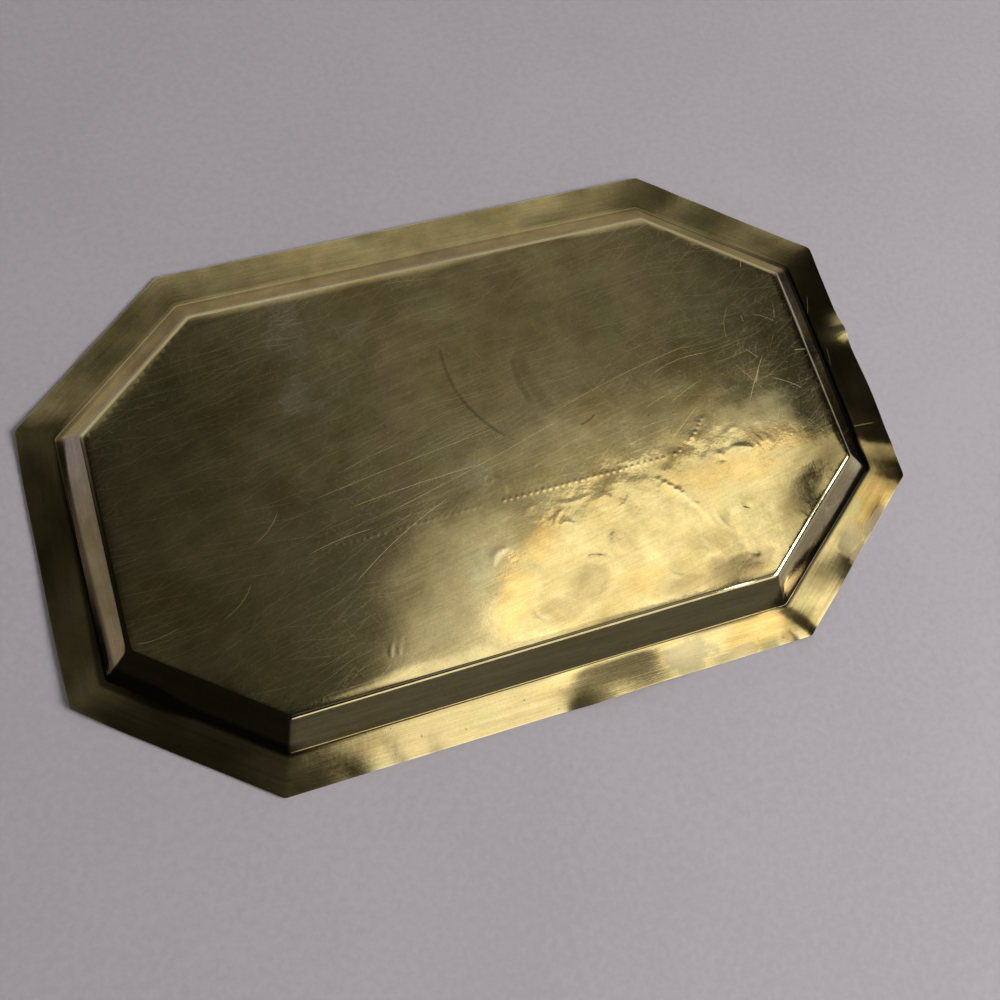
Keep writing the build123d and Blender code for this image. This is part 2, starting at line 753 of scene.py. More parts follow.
    def shape_by_wear(self, pan: Piece) -> None:
        """Move the sheet's points by its punched marks, dents and bends.

        Args:
            pan: Object that holds the sheet.
        """
        mesh, wear = pan.data, self.wear
        places = np.zeros(len(mesh.vertices) * 3)
        mesh.vertices.foreach_get("co", places)
        x, y, z = (places.reshape(-1, 3) / MM).T.copy()
        inset = np.zeros(len(mesh.vertices))
        mesh.attributes[INSET].data.foreach_get("value", inset)
        start = self.press.panel_start() / MM
        flat_inset = self.outline.gaps(x * MM, y * MM).min(axis=0) / MM
        inset = np.where(inset >= start - 1e-3, np.maximum(flat_inset, start), inset)
        calm = smooth(inset, start + wear.calm_band[0], start + wear.calm_band[1])
        fading = np.clip(wear.fade_level + wear.fading.height_at(x, y), *wear.fade_range)
        strokes = raised([mark for mark in self.marks if not isinstance(mark, Dots)], x, y)
        dots = raised([mark for mark in self.marks if isinstance(mark, Dots)], x, y)
        punched = (strokes * fading + dots) * calm
        dented = raised((*wear.dents, *wear.creases), x, y)
        dented *= smooth(inset, start + wear.dent_band[0], start + wear.dent_band[1])
        z += punched + dented + raised(wear.swells, x, y) * calm
        wall_foot = self.press.rim_width / MM
        for droop in wear.droops:
            up_wall = smooth(inset, wall_foot, start)
            inwards = smooth(inset, start + droop.reach, start)
            near = bell(self.run_gap(x, y, droop.place), droop.spread)
            z -= droop.drop * near * np.where(inset < start, up_wall, inwards)
        self.bend_rim(x, y, z, inset)
        mesh.vertices.foreach_set("co", (np.stack([x, y, z], axis=1) * MM).ravel())
        mesh.attributes[INSET].data.foreach_set("value", inset)
        worn = mesh.attributes.new(WEAR, "FLOAT", "POINT")
        worn.data.foreach_set("value", np.clip(punched / wear.full_mark, 0, 1))
        for name in NOTES[:2]:
            mesh.attributes.remove(mesh.attributes[name])
        mesh.update()

    def run_gap(self, x: Array, y: Array, place: Place) -> Array:
        """Distance of points from a place, measured round the outer edge.

        Args:
            x: Places of the points along the tray, in millimetres.
            y: Places of the points across the tray, in millimetres.
            place: Place on the outer edge, in millimetres.

        Returns:
            Distance of each point, in millimetres.
        """
        corners = self.outline.corners(0.0, 0.0)
        whole = sum((b - a).length for a, b in zip(corners, corners[1:])) / MM
        run = self.outline.run_of(x * MM, y * MM)
        gap = np.abs(run - self.outline.run_of(*(np.array([value]) * MM for value in place))) / MM
        return np.minimum(gap, whole - gap)

    def bend_rim(self, x: Array, y: Array, z: Array, inset: Array) -> None:
        """Bend the rim and the foot of the wall in place.

        Args:
            x: Places of the points along the tray, in millimetres.
            y: Places of the points across the tray, in millimetres.
            z: Heights of the points, in millimetres.
            inset: Insets of the points from the outer edge, in millimetres.
        """
        rim, wall = self.press.rim_width / MM, self.press.wall_run / MM
        out = np.clip(1 - inset / rim, 0, 1)
        foot = np.where(inset < rim, inset / rim, 1 - np.clip((inset - rim) / wall, 0, 1))
        lift = np.abs(self.wear.rim_swell.height_at(x, y)) * out
        normals = np.array([tuple(normal) for normal, _ in self.outline.sides()])
        outward = normals[np.argmin(self.outline.gaps(x * MM, y * MM), axis=0)].T
        gaps = [self.run_gap(x, y, bend.place) for bend in self.wear.rim_bends]
        for bend, gap in zip(self.wear.rim_bends, gaps):
            near = bell(gap, bend.spread) * out**bend.curl
            lift += bend.lift * near
            x += outward[0] * bend.outward * near
            y += outward[1] * bend.outward * near
        for rise in self.wear.foot_rises:
            near = bell(np.hypot(x - rise.place[0], y - rise.place[1]), rise.spread)
            lift += rise.lift * near * foot
        z += lift

    def give_thickness(self, pan: Piece) -> None:
        """Turn the back of the sheet into a closed sheet of even thickness.

        Args:
            pan: Object that holds the back of the sheet.
        """
        sheet = pan.modifiers.new("sheet", "SOLIDIFY")
        sheet.thickness = self.press.sheet
        sheet.offset = -1
        sheet.use_even_offset = True
        bevel = pan.modifiers.new("edge", "BEVEL")
        bevel.width = self.press.edge_bevel
        bevel.segments = 1
        bevel.limit_method = "ANGLE"
        bevel.angle_limit = self.bevel_angle
        select_only(pan)
        bpy.ops.object.modifier_apply(modifier=sheet.name)
        bpy.ops.object.modifier_apply(modifier=bevel.name)
        bpy.ops.object.shade_smooth_by_angle(angle=self.smooth_angle)


@dataclass(frozen=True)
class Wire:
    """A node's output, which can be used in sums: an expression adds its Math nodes."""

    maker: "NodeMaker"
    socket: bpy.types.NodeSocket

    def __add__(self, other: "Wire | float") -> "Wire":
        """Sum."""
        return self.maker.math("ADD", self, other)

    def __sub__(self, other: "Wire | float") -> "Wire":
        """Difference."""
        return self.maker.math("SUBTRACT", self, other)

    def __rsub__(self, other: float) -> "Wire":
        """Difference from a number."""
        return self.maker.math("SUBTRACT", other, self)

    def __mul__(self, other: "Wire | float") -> "Wire":
        """Product."""
        return self.maker.math("MULTIPLY", self, other)

    def __truediv__(self, other: "Wire | float") -> "Wire":
        """Quotient."""
        return self.maker.math("DIVIDE", self, other)

    def __abs__(self) -> "Wire":
        """Absolute value."""
        return self.maker.math("ABSOLUTE", self)

    __radd__ = __add__
    __rmul__ = __mul__


Feed = Wire | float | tuple


@dataclass
class NodeMaker:
    """Adds nodes to one node tree, and links or sets their sockets."""

    tree: bpy.types.NodeTree

    def feed(self, node: bpy.types.Node, inputs: dict[int | str, Feed]) -> None:
        """Link or set sockets of a node.

        Args:
            node: Node that has the sockets.
            inputs: Links or values of its sockets, by name or number.
        """
        for name, value in inputs.items():
            if isinstance(value, Wire):
                self.tree.links.new(value.socket, node.inputs[name])
            else:
                node.inputs[name].default_value = value

    def node(self, kind: str, settings: dict, inputs: dict, output: int | str = 0) -> Wire:
        """Add a node.

        Args:
            kind: Type of the node.
            settings: Settings of the node, by name.
            inputs: Links or values of its sockets, by name or number.
            output: Name or number of the output that is wanted.

        Returns:
            The wanted output.
        """
        node = self.tree.nodes.new(kind)
        for name, value in settings.items():
            setattr(node, name, value)
        self.feed(node, inputs)
        return Wire(self, node.outputs[output])

    def math(self, operation: str, *values: Feed) -> Wire:
        """Add a Math node."""
        return self.node("ShaderNodeMath", {"operation": operation}, dict(enumerate(values)))

    def vector_math(self, operation: str, *values: Feed) -> Wire:
        """Add a Vector Math node. A dot product is its number output."""
        output = "Value" if operation == "DOT_PRODUCT" else "Vector"
        settings = {"operation": operation}
        return self.node("ShaderNodeVectorMath", settings, dict(enumerate(values)), output)

    def vector(self, x: Feed, y: Feed, z: Feed = 0.0) -> Wire:
        """Join three numbers into a vector."""
        return self.node("ShaderNodeCombineXYZ", {}, {"X": x, "Y": y, "Z": z})

    def part(self, vector: Wire, axis: str) -> Wire:
        """One component of a vector."""
        return self.node("ShaderNodeSeparateXYZ", {}, {0: vector}, axis)

    def place(self, kind: str = "Object") -> Wire:
        """Place or direction, as one kind of texture coordinates."""
        return self.node("ShaderNodeTexCoord", {}, {}, kind)

    def length(self, x: Wire, y: Wire) -> Wire:
        """Length of a flat vector from its two numbers."""
        return self.math("SQRT", x * x + y * y)

    def step(self, value: Wire, low: float, high: float) -> Wire:
        """Grade a value smoothly from 0 at low to 1 at high, which may lie below low."""
        inputs = {"Value": value, "From Min": low, "From Max": high}
        return self.node("ShaderNodeMapRange", {"interpolation_type": "SMOOTHSTEP"}, inputs)

    def noise(self, place: Wire, scale: float, detail: float = 2, rough: float = 0.5) -> Wire:
        """Cloudy pattern from 0 to 1, about as many clouds per unit as the scale says."""
        inputs = {"Vector": place, "Scale": scale, "Detail": detail, "Roughness": rough}
        return self.node("ShaderNodeTexNoise", {}, inputs, "Fac")

    def mix(self, mask: Feed, low: Feed, high: Feed, blend: Blend = Blend.MIX) -> Wire:
        """Mix two colours: the low one where the mask is 0, the high one where it is 1."""
        colours = [one if isinstance(one, Wire) else (*one, 1.0) for one in (low, high)]
        settings = {"data_type": "RGBA", "blend_type": blend.value}
        return self.node("ShaderNodeMix", settings, {0: mask, 6: colours[0], 7: colours[1]}, 2)

    def tint(self, mask: Feed, colour: Feed, by: Feed) -> Wire:
        """Multiply a colour by another where the mask is 1."""
        return self.mix(mask, colour, by, Blend.MULTIPLY)

    def union(self, *masks: Wire) -> Wire:
        """Largest of several masks."""
        return reduce(lambda whole, mask: self.math("MAXIMUM", whole, mask), masks)

    def bump(self, height: Wire, distance: float, strength: float = 1.0) -> Wire:
        """Normals of a surface that has a fine relief."""
        inputs = {"Height": height, "Distance": distance, "Strength": strength}
        return self.node("ShaderNodeBump", {}, inputs, "Normal")


@dataclass(frozen=True)
class Scratch:
    """One long scratch on the panel: a bowed line. Millimetres."""

    start: Place
    end: Place
    bow: float = 0.0
    width: float = 0.14
    strength: float = 0.8


@dataclass(frozen=True)
class HairlineLayer:
    """Fine scratches in one direction. Degrees and millimetres.

    A scratch is half as long as the reach times the length, to each side of its middle.
    """

    angle: float
    length: float
    spacing: float
    reach: float = 0.12
    share: float = 0.48
    strength: float = 1.0


@dataclass(frozen=True)
class Patch:
    """A patch of the finish, or of painted shade or light, with a fade that softens its edge.
    Millimetres and degrees.
    """

    centre: Place
    size: Place
    turn: float = 0.0
    strength: float = 1.0
    fade: float = 0.0


@dataclass
class SheetNodes(NodeMaker):
    """Adds the nodes of the tray's finish. Its lengths are in millimetres."""

    panel_edge: float = 22.2
    slant: float = 0.16
    raggedness: float = 2.4

    def __post_init__(self) -> None:
        """Add the places and the noises that several patterns read."""
        self.at = self.vector_math("MULTIPLY", self.place(), (1 / MM,) * 3)
        self.inset, self.wear = (
            self.node("ShaderNodeAttribute", {"attribute_name": name}, {}, "Fac")
            for name in (INSET, WEAR)
        )
        self.panel = self.math("GREATER_THAN", self.inset, self.panel_edge)
        self.x, self.y = self.part(self.at, "X"), self.part(self.at, "Y")
        self.coarse = self.brushing(30, 1.1)
        self.fine = self.brushing(12, 0.36)
        self.clouds = self.cloudy(46, 3, 0.55)
        self.blotches = self.cloudy(9, 4, 0.6)
        self.grain = self.cloudy(0.8, 3, 0.7)

    def cloudy(self, size: float, detail: float = 2, rough: float = 0.5) -> Wire:
        """Cloudy pattern from 0 to 1, whose clouds are about as large as the size."""
        return self.noise(self.at, 1 / size, detail, rough)

    def brushing(self, length: float, width: float) -> Wire:
        """Brushed streaks, slanting over the panel and along the sides on the wall and rim.

        Args:
            length: Length of the streaks.
            width: Width of the streaks.

        Returns:
            Streaks from 0 to 1.
        """
        x, y = self.x, self.y
        across = self.vector((x + y * self.slant) / length, (y - x * self.slant) / width)
        around = self.vector(x / length, y / length, self.inset / width)
        feeds = {0: self.panel, 4: around, 5: across}
        way = self.node("ShaderNodeMix", {"data_type": "VECTOR"}, feeds, 1)
        return self.noise(way, 1, 3, 0.6)

    def hairlines(self, layers: tuple[HairlineLayer, ...]) -> Wire:
        """Fine straight scratches in several directions, each fading towards its ends.

        Args:
            layers: Layers of scratches.

        Returns:
            Mask of the scratches.
        """
        drift = (self.cloudy(55) - 0.5) * 9
        flat = {"voronoi_dimensions": "2D", "feature": "F1"}
        whole = []
        for number, layer in enumerate(layers):
            angle = {"Vector": self.at, "Angle": math.radians(-layer.angle)}
            turned = self.node("ShaderNodeVectorRotate", {"rotation_type": "Z_AXIS"}, angle)
            bent = self.vector_math("ADD", turned, self.vector(3.1 * number, drift))
            cells = self.vector_math("MULTIPLY", bent, (1 / layer.length, 1 / layer.spacing, 0))
            feeds = {"Vector": cells, "Scale": 1}
            away = self.node("ShaderNodeTexVoronoi", flat, feeds, "Distance")
            patch = self.noise(self.vector_math("ADD", self.at, (41 * number, 0, 0)), 1 / 28)
            line = self.step(away, layer.reach, layer.reach * 0.2)
            line = line * self.step(patch, layer.share - 0.1, layer.share + 0.12) * layer.strength
            whole = [self.union(*whole, line)]
        return whole[0]

    def measured(self, start: Place, axis: Vector) -> Wire:
        """Distance from a start along an axis, in units of one over the axis' length."""
        return self.vector_math("DOT_PRODUCT", self.at, (*axis, 0.0)) - Vector(start).dot(axis)

    def lines(self, scratches: tuple[Scratch, ...]) -> Wire:
        """Scratches or streaks that stand out one by one.

        Args:
            scratches: Scratches or streaks.

        Returns:
            Mask of them all.
        """
        whole = []
        for scratch in scratches:
            run = (Vector(scratch.end) - Vector(scratch.start)) / 2
            middle = (Vector(scratch.end) + Vector(scratch.start)) / 2
            along = self.measured(middle, run / run.length_squared)
            side = self.measured(middle, Vector((-run.y, run.x)) / run.length)
            bowed = side - scratch.bow * (1 - along * along)
            line = self.step(abs(bowed), scratch.width, scratch.width * 0.2)
            line = line * self.step(abs(along), 1, 0.7) * scratch.strength
            whole = [self.union(*whole, line)]
        return whole[0]

    def patches(self, patch_rows: tuple[Patch, ...]) -> Wire:
        """Patches with ragged edges: stains, or painted shade and light.

        Args:
            patch_rows: Patches of one kind.

        Returns:
            Mask of them all.
        """
        whole = []
        for one_patch in patch_rows:
            heading = Vector((1, 0))
            heading.rotate(Matrix.Rotation(math.radians(one_patch.turn), 2))
            along = self.measured(one_patch.centre, heading / one_patch.size[0])
            side = self.measured(one_patch.centre, heading.orthogonal() / one_patch.size[1])
            away = self.length(along, side) + (self.blotches - 0.5) * self.raggedness
            patch = self.step(away, 1.15 + one_patch.fade, 0.7 - one_patch.fade) * one_patch.strength
            whole = [self.union(*whole, patch)]
        return whole[0]


def new_material(name: str) -> tuple[bpy.types.Material, bpy.types.Node]:
    """Add a material, and find its shader.

    Args:
        name: Name of the material.

    Returns:
        The material and its shader.
    """
    material = bpy.data.materials.new(name)
    material.use_nodes = True
    return material, material.node_tree.nodes["Principled BSDF"]


@dataclass(frozen=True)
class AgedBrass:
    """Worn brass: brushed metal under an uneven tarnish, with scratches, haze and stains, and with
    painted shade, painted light and painted reflection colour on its walls, feet, rim and panel.
    """

    clean: Colour = (0.66, 0.54, 0.265)
    tarnished: Colour = (0.39, 0.315, 0.14)
    warm: Colour = (1.0, 0.95, 0.86)
    cool: Colour = (0.92, 1.0, 0.98)
    # Painted reflection colour: orange for the warm fringe of the lamp's reflection.
    painted_warm_light: Colour = (1.0, 0.86, 0.66)
    dull: Colour = (0.74, 0.70, 0.70)
    wall_tint: Colour = (0.96, 1.0, 1.1)
    # Painted reflection colour: a bluer tint for the far wall.
    far_wall_reflection_tint: Colour = (0.98, 1.04, 1.7)
    # Painted shade: darkens the near wall, for the dark room it mirrors.
    near_wall_shade: Colour = (0.56, 0.57, 0.60)
    # Painted light: brightens and cools the right wall.
    right_wall_light: Colour = (1.5, 1.65, 2.2)
    # Dark colour for grime and specks, and for painted shade in the foot's crease and painted dark
    # reflections.
    grime_and_shade: Colour = (0.11, 0.085, 0.045)
    # Near-black painted shade for the foot's crease towards +X.
    right_foot_black: Colour = (0.012, 0.010, 0.007)
    haze: Colour = (1.02, 1.06, 1.36)
    deposit: Colour = (0.52, 0.49, 0.35)
    bare: Colour = (0.70, 0.60, 0.36)
    coarse_streaks: tuple[Colour, Colour] = ((0.56, 0.52, 0.45), (1.3, 1.3, 1.3))
    fine_streaks: tuple[Colour, Colour] = ((0.62, 0.6, 0.56), (1.35, 1.35, 1.35))
    grains: tuple[Colour, Colour] = ((0.6, 0.6, 0.58), (1.4, 1.4, 1.4))
    foot_line: float = 12.6
    wall_middle: float = 17.0
    wall_fade: Place = (5.0, 4.0)
    shoulder_line: float = 20.9
    far_wall_reflection_start: Place = (0.0, 40.0)
    shaded_near_wall_start: Place = (-36.0, -44.0)
    shaded_near_wall_end: Place = (84.0, 94.0)
    lit_right_wall_start: Place = (117.0, 122.0)
    lit_right_wall_ends: Place = (44.0, 36.0)
    near_rim_start: Place = (-34.0, -52.0)
    calm_left: Place = (-30.0, -100.0)
    # Bounds of the painted shade in the foot's crease: a wider wedge at the left end, left off
    # along the near side, fainter along the far side, near-black towards +X.
    shade_wedge_along: Place = (-104.0, -116.0)
    shade_wedge_across: Place = (14.0, -44.0)
    unshaded_foot_along: Place = (82.0, 75.0)
    unshaded_foot_across: Place = (-58.0, -66.0)
    far_foot_start: Place = (30.0, 62.0)
    right_foot_shade_start: Place = (72.0, 82.0)
    panel_roughness: float = 0.078
    rim_roughness: float = 0.095
    least_roughness: float = 0.06
    scratches: tuple[Scratch, ...] = rows(
        Scratch,
        (-52, -34, -12, -13, 1.8, 0.14, 0.9), (-62, -20.5, -40, -17.5, 0.8),
        (-60, -4.5, 10, 5, 0.5, 0.11), (-48, -9.5, 0, -6, 0.6), (-40, -15, 34, 4, -0.8, 0.14, 0.7),
        (59, -16.5, 74, -5, 0.3, 0.2, 1), (56, -18.5, 68, -8.5, 0.2, 0.14, 0.7),
        (91.9, -8.2, 103, 7.2, 0.2, 0.18, 0.9), (96.5, -2.5, 99.5, 2.5, 0.1, 0.3, 0.9),
        (114, 5.7, 118.8, 5, 0.1, 0.2, 0.9), (97.2, 10.4, 100.8, 6, 0.1, 0.14, 0.9),
        (91.3, 6.6, 99, -7.2, 0.4, 0.12, 0.7), (102.5, -1.8, 112.2, -8.6, 0.5, 0.16, 0.9),
        (98.7, -16.8, 101.5, -12.6, 0, 0.16, 0.9), (75.9, -9.5, 68.3, -14.5, 0, 0.12, 0.7),
        (60.5, 8.4, 85, 12, 2, 0.16, 0.7), (64.9, -2, 78.6, 3.4, 0.3, 0.16, 0.7),
        (55.9, -1.6, 68.3, 2, 0.3, 0.14, 0.7), (107.9, 42.4, 107.1, 39.8, 0, 0.16),
        (112.9, 22.1, 111.8, 18.6), (100.6, 22.6, 100.3, 19.7),
        (97.6, 27.3, 92.6, 14.4, -1.6, 0.14, 0.6), (128.6, -23.6, 137.4, -24.2, 0.1, 0.16, 0.7),
        (131, 6.5, 129.8, -0.5, 0.1, 0.12, 0.5), (131.8, 27.5, 129, 20, 0.1, 0.12, 0.5),
        (8, -14, 48, -1, 0.9, 0.14, 0.6), (20, 3, 82, 17, 1.5, 0.14, 0.6),
        (-46, 2.5, -24, 7.5, 0.5, 0.14, 0.6), (-30, -41.5, -11, -44, -1.2, 0.2, 0.7),
        (-117, -33, -103, -31.5, -1, 0.14, 0.6), (-91, -33, -80, -24, -1.4, 0.14, 0.6),
        (-77, -13, -67, -4, -1.2, 0.14, 0.6), (104, 22, 112, 17, 0.6, 0.14, 0.7),
    )
    hairline_layers: tuple[HairlineLayer, ...] = rows(
        HairlineLayer,
        (4, 220, 1, 0.12, 0.4), (10, 200, 0.8, 0.12, 0.42), (17, 180, 0.8, 0.12, 0.42),
        (24, 150, 0.9, 0.12, 0.44), (-7, 140, 1.2, 0.12, 0.46), (35, 90, 1, 0.12, 0.42, 0.8),
        (50, 30, 0.6, 0.12, 0.38, 0.5), (-56, 50, 1.4, 0.09, 0.5, 0.8),
        (96, 40, 1.4, 0.09, 0.5, 0.7), (66, 14, 1.3, 0.11, 0.48, 0.8),
        (-33, 13, 1.4, 0.11, 0.5, 0.8),
    )
    hazes: tuple[Patch, ...] = rows(
        Patch,
        (-51, 30, 7, 9, 0, 0.8), (-50, 56, 6.5, 15, 0, 0.65), (-30, 50, 5, 4, 0, 0.35),
        (-6, -9.5, 6, 5, 0, 0.35), (-10, -38, 7, 3.5, 25, 0.4), (-70, -5, 6, 3, 45, 0.35),
        (112, -8, 7, 22, 0, 0.2),
    )
    dark_streaks: tuple[Scratch, ...] = rows(
        Scratch,
        (-3.5, 37, -2, 17, -1, 0.9, 0.35), (-3, 21, 9, 0.5, -1.6, 0.9, 0.42),
        (19, 28, 20.5, 9, -1.4, 1.6, 0.3), (21, 27, 26, 5, -1, 3, 0.2),
        (33, -1.5, 39.5, 1, -0.5, 0.6, 0.6),
    )
    crumpled: tuple[Patch, ...] = rows(Patch, (60, -40, 56, 28))
    scuff_layers: tuple[HairlineLayer, ...] = rows(
        HairlineLayer,
        (76, 30, 1.2, 0.11, 0.44), (22, 44, 1.1, 0.1, 0.4), (-38, 24, 1.2, 0.11, 0.44),
        (48, 36, 1.1, 0.1, 0.42), (-12, 28, 1.2, 0.1, 0.42),
    )
    scuffed: tuple[Patch, ...] = rows(
        Patch,
        (107, -2, 17, 32), (84, 12, 24, 22, 0, 0.6), (101, -44, 12, 8, 38, 0.9),
    )
    dull_stains: tuple[Patch, ...] = rows(
        Patch,
        (19, -52, 8, 6, 20, 0.8), (7, -58, 9, 4, 0, 0.6), (48, -61, 10, 3.5, 0, 0.7),
        (67, -61, 12, 5), (97, -44, 12, 6, 38, 0.8), (34, -44, 5, 8, 20, 0.5),
    )
    rubbed_spots: tuple[Patch, ...] = rows(
        Patch,
        (89, -15, 16, 8, 0, 1, 0.5), (68, -34, 22, 14, 0, 0.5, 0.6),
    )
    # Painted dark reflections: dark patches where the drooping panel edge and bent rim mirror the
    # dark room.
    dark_reflection_patches: tuple[Patch, ...] = rows(
        Patch,
        (111.5, -34, 9, 4.5, 45, 0.6, 0.6), (101, -42.5, 11, 4, 38, 0.5, 0.6),
        (136, -39.5, 5, 8, 0, 0.75, 0.5), (96, -70, 14, 5, 38.5, 0.5, 0.6),
        (84.5, -81.5, 9, 3.4, 18, 0.6, 0.6), (86.5, -68.8, 9, 2.8, 38.5, 0.95, 0.2),
    )
    # Painted reflection colour: orange patches along the edges of the lamp's reflection on the
    # panel and rim.
    warm_light_fringes: tuple[Patch, ...] = rows(
        Patch,
        (-5, -50, 6, 13, -25, 0.7), (9, -35, 10, 5, 25, 0.6), (98, -23, 14, 4.5, -10, 0.7),
        (76, -29, 24, 5, -5, 0.6), (129, -47, 14, 6, 38), (72, -81, 14, 6, 0, 0.9),
        (36, -57, 9, 5, 0, 0.6),
    )
    deposits: tuple[Patch, ...] = rows(
        Patch,
        (46, -81, 9, 5.5, 0, 0.5), (112, -61, 6, 3, 38, 0.5), (123, -57, 6, 1.8, 38, 0.7),
        (113, -66, 4, 1.8, 38, 0.6), (63, -86, 5, 2, 0, 0.5),
    )

    def build(self) -> bpy.types.Material:
        """Make the material."""
        material, shader = new_material("aged_brass")
        sheet = SheetNodes(material.node_tree)
        x, y, inset, panel = sheet.x, sheet.y, sheet.inset, sheet.panel
        off_panel = 1 - panel
        step, coarse, fine, grain = sheet.step, sheet.coarse, sheet.fine, sheet.grain
        clouds, blotches = sheet.clouds, sheet.blotches

        tarnish = step(clouds * 0.60 + blotches * 0.42 + coarse * 0.2, 0.44, 0.80)
        near_rim = off_panel * step(y, *self.near_rim_start)
        rubbed = sheet.union(near_rim * 0.75, sheet.patches(self.rubbed_spots))
        colour = sheet.mix(tarnish * (1 - rubbed), self.clean, self.tarnished)
        colour = sheet.tint(step(sheet.cloudy(24, 3, 0.6), 0.52, 0.72), colour, self.warm)
        colour = sheet.tint(step(sheet.cloudy(19), 0.44, 0.3), colour, self.cool)
        colour = sheet.tint(off_panel * 0.9, colour, sheet.mix(coarse, *self.coarse_streaks))
        wall = step(abs(inset - self.wall_middle), *self.wall_fade)
        colour = sheet.tint(wall, colour, self.wall_tint)
        # Painted reflection colour: the far wall below the shoulder is tinted blue.
        far_wall_reflection = wall * step(y, *self.far_wall_reflection_start) * step(inset, self.shoulder_line, 20)
        colour = sheet.tint(far_wall_reflection, colour, self.far_wall_reflection_tint)
        # Painted shade: the near wall is darkened, lightly towards -X and fully from 94 mm along
        # on.
        shaded_near_wall = wall * step(y, *self.shaded_near_wall_start)
        shaded_near_wall = shaded_near_wall * (step(x, *self.shaded_near_wall_end) * 0.6 + 0.4)
        colour = sheet.tint(shaded_near_wall, colour, self.near_wall_shade)
        # Painted light: the middle of the right wall is brightened and tinted blue.
        lit_right_wall = wall * step(x, *self.lit_right_wall_start) * step(abs(y), *self.lit_right_wall_ends)
        colour = sheet.tint(lit_right_wall, colour, self.right_wall_light)
        # Painted reflection colour: orange patches at the edges of the lamp's reflection.
        colour = sheet.tint(sheet.patches(self.warm_light_fringes), colour, self.painted_warm_light)
        dulled = sheet.patches(self.dull_stains)
        colour = sheet.tint(dulled, colour, self.dull)
        colour = sheet.tint(0.45, colour, sheet.mix(fine, *self.fine_streaks))
        colour = sheet.tint(0.5, colour, sheet.mix(grain, *self.grains))

        lines = sheet.hairlines(self.hairline_layers) * (1 - step(x, *self.calm_left) * 0.45)
        scuffs = sheet.hairlines(self.scuff_layers) * sheet.patches(self.scuffed)
        named = sheet.lines(self.scratches)
        streaks = sheet.lines(self.dark_streaks)
        hazy = sheet.patches(self.hazes)
        pale = sheet.patches(self.deposits)
        folds = step(abs(inset - self.shoulder_line), 1.5, 0.3) * step(blotches, 0.25, 0.6)
        # Painted shade, with some grime: a dark line along the crease at the foot of the wall.
        shade_wedge = step(x, *self.shade_wedge_along) * step(y, *self.shade_wedge_across)
        foot_grime_and_shade = step(abs(inset - self.foot_line) - shade_wedge * 1.6, 2.2, 0.8)
        clean = step(abs(x), *self.unshaded_foot_along) * step(y, *self.unshaded_foot_across)
        foot_grime_and_shade = foot_grime_and_shade * (1 - clean * 0.85)
        foot_grime_and_shade = foot_grime_and_shade * (1 - step(y, *self.far_foot_start) * 0.7)
        # Painted shade: the foot's crease line turns near-black towards +X.
        right_foot_shade = foot_grime_and_shade * step(x, *self.right_foot_shade_start)
        edge = step(inset, 0.5, 0.1)
        specks = step(sheet.cloudy(1.7), 0.73, 0.78)

        worn = (scuffs * 0.75, lines * 0.24, named * 0.45, folds * 0.5, edge, sheet.wear * 0.4)
        colour = sheet.mix(sheet.union(*worn), colour, self.bare)
        colour = sheet.tint(hazy, colour, self.haze)
        colour = sheet.mix(pale * 0.6, colour, self.deposit)
        # Painted shade in the foot's crease, laid together with real dirt specks and dark streaks.
        grime_and_shade_mask = sheet.union(foot_grime_and_shade * 0.85, specks * 0.6, streaks)
        colour = sheet.mix(grime_and_shade_mask, colour, self.grime_and_shade)
        colour = sheet.mix(right_foot_shade, colour, self.right_foot_black)
        # Painted shade: dark patches for the dark room mirrored by the drooping edge and bent rim.
        colour = sheet.mix(sheet.patches(self.dark_reflection_patches), colour, self.grime_and_shade)

        smoother = self.panel_roughness - self.rim_roughness
        rough = sheet.math("MULTIPLY_ADD", panel, smoother, self.rim_roughness)
        rough = rough + (fine - 0.5) * 0.05 + (blotches - 0.5) * 0.05 + (clouds - 0.5) * 0.04
        rough = rough + lines * 0.10 * panel + named * 0.2 + hazy * 0.06 + pale * 0.2
        rough = rough + dulled * 0.06 + (grain - 0.5) * 0.04

        relief = (fine - 0.5) * 0.0006 + (coarse - 0.5) * 0.0006 + (grain - 0.5) * 0.0009
        relief = relief + off_panel * (fine - 0.5) * 0.006
        crumpled = sheet.patches(self.crumpled) * 0.036 + 0.010
        relief = relief + (sheet.cloudy(4, 3) - 0.5) * crumpled
        covered = sheet.union(pale * 0.35, lines * panel * 0.08, scuffs * 0.2, named * 0.3)
        feeds = {
            "Base Color": colour,
            "Roughness": sheet.math("MAXIMUM", rough, self.least_roughness),
            "Normal": sheet.bump(relief, MM),
            "Metallic": 1 - covered,
        }
        sheet.feed(shader, feeds)
        return material


@dataclass(frozen=True)
class Paper:
    """Pale matt floor with a faint fibre."""

    light: Colour = (0.425, 0.397, 0.425)
    dark: Colour = (0.385, 0.360, 0.387)
    roughness: float = 0.75

    def build(self) -> bpy.types.Material:
        """Make the material."""
        material, shader = new_material("pale_floor")
        maker = NodeMaker(material.node_tree)
        place = maker.place()
        fibre, cloud = maker.noise(place, 420, 3, 0.6), maker.noise(place, 9, 3, 0.6)
        shade = maker.step(fibre * 0.6 + cloud * 0.4, 0.36, 0.64)
        feeds = {
            "Base Color": maker.mix(shade, self.dark, self.light),
            "Normal": maker.bump(fibre, 0.05 * MM, 0.5),
            "Roughness": self.roughness,
        }
        maker.feed(shader, feeds)
        return material


@dataclass(frozen=True)
class Glow:
    """A soft oval of light on the ceiling, given on a plane one metre up."""

    centre: Place
    size: Place
    strength: float
    core: float = 0.0


